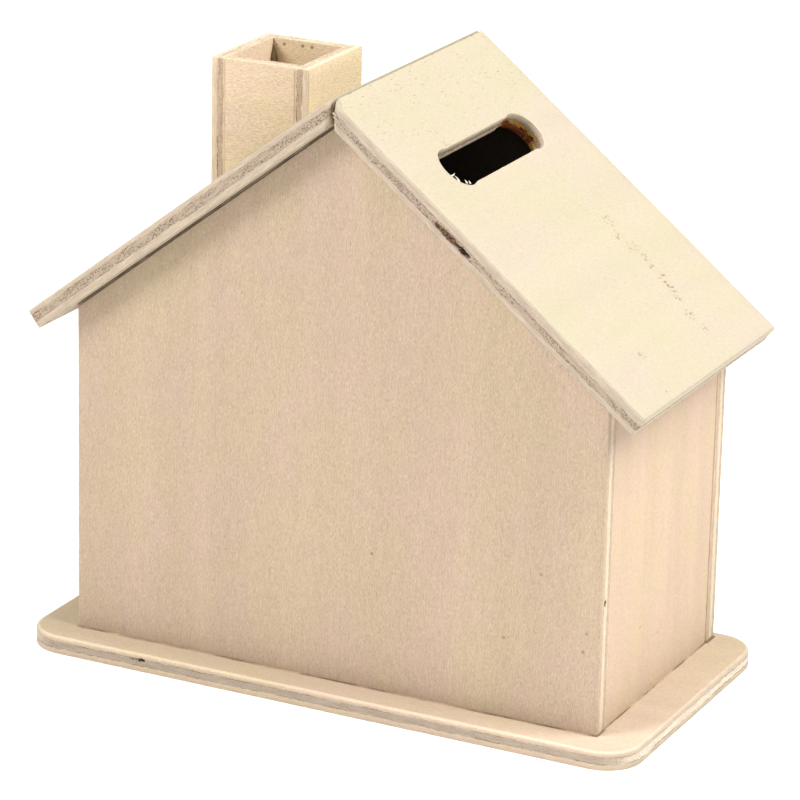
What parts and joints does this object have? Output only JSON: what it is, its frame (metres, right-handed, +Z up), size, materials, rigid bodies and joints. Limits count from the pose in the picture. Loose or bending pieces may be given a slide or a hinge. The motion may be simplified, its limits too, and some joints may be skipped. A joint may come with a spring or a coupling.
{
  "type": "money box",
  "caption": "House-shaped plywood money box: gabled body on a rounded base plate, mitred pitched roof with a coin slot, open square chimney and a push-in bottom stopper.",
  "frame": {"origin": "middle of the base plate's underside, on the surface that the box stands on", "axes": "+X to the right along the front gable's width, +Y from the front gable to the rear one, along the ridge, +Z up"},
  "size_m": [0.116, 0.0596, 0.1067],
  "materials": {
    "base_plywood": "raw sanded plywood",
    "wall_plywood": "raw sanded plywood",
    "roof_plywood": "raw sanded plywood",
    "chimney_plywood": "raw sanded plywood",
    "stopper_plastic": "moulded soft plastic"
  },
  "bodies": {
    "house": {"base_plate": "base_plywood", "front_gable": "wall_plywood", "rear_gable": "wall_plywood", "left_side_wall": "wall_plywood", "right_side_wall": "wall_plywood", "right_roof_panel": "roof_plywood", "left_roof_panel": "roof_plywood", "chimney_left_wall": "chimney_plywood", "chimney_right_wall": "chimney_plywood", "chimney_front_wall": "chimney_plywood", "chimney_rear_wall": "chimney_plywood"},
    "stopper": {"bottom_stopper": "stopper_plastic"}
  },
  "joints": [
    {"name": "stopper_pull", "type": "slide", "parent": "house", "child": "stopper", "axis": [0, 0, -1], "range_m": [0, 0.02]}
  ]
}
